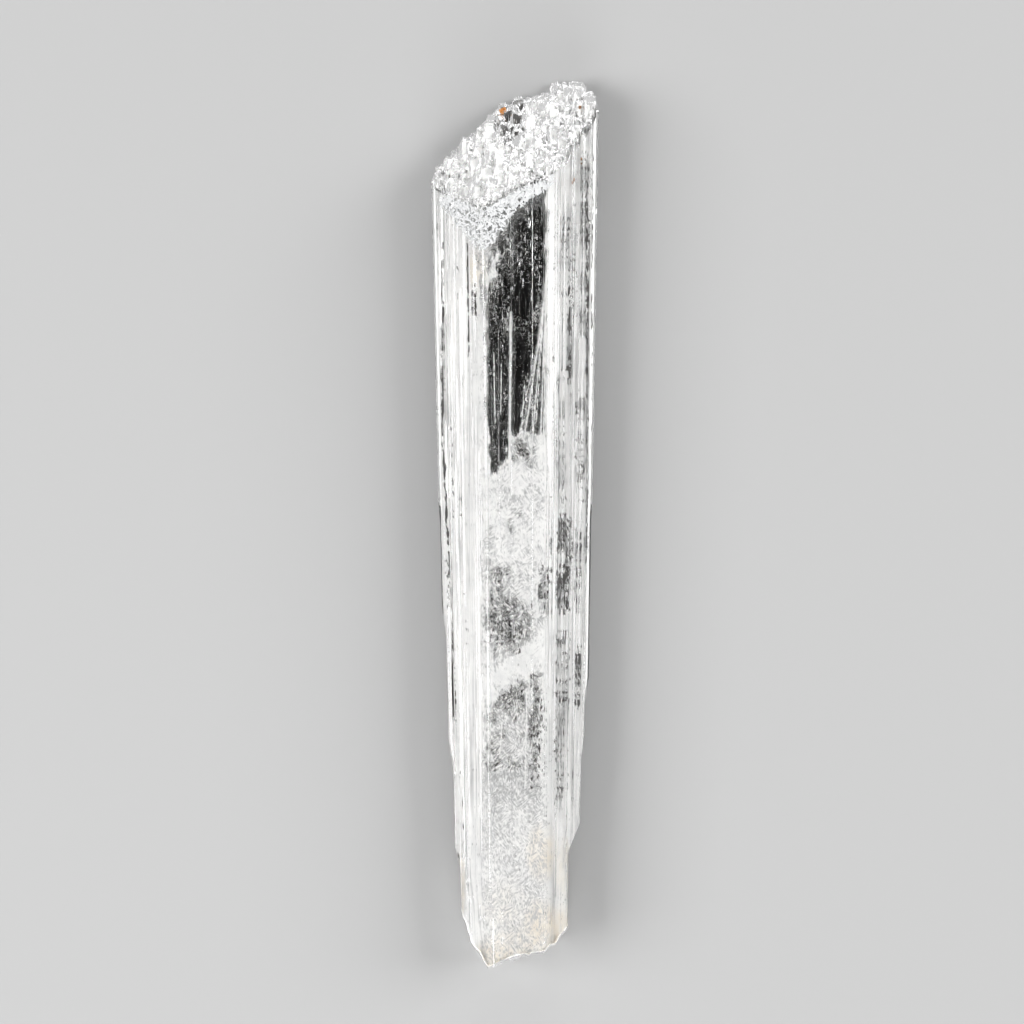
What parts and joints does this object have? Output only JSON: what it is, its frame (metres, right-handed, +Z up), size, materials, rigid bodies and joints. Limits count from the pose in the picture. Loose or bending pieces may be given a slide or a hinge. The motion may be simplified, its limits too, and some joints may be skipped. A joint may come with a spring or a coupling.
{
  "type": "hydroboracite crystal",
  "caption": "Long, tapering, clear to silky white mineral crystal with lengthwise blades, a slanting end crusted with small crystals, and a broken tip.",
  "frame": {"origin": "middle of the underside of the crystal's box, in the plane of the flat back face that it rests on", "axes": "+Y along the crystal towards the crusted end, +X across its front, +Z up from the flat back face to the front face"},
  "size_m": [0.015, 0.08, 0.0084],
  "materials": {
    "crystal": "clear, glassy to silky, finely striated along its length",
    "veils": "milky white silky fibres and veils inside the crystal",
    "stains": "cream to rusty natural stains and specks"
  },
  "bodies": {
    "root": {"crystal": "crystal"}
  },
  "joints": []
}
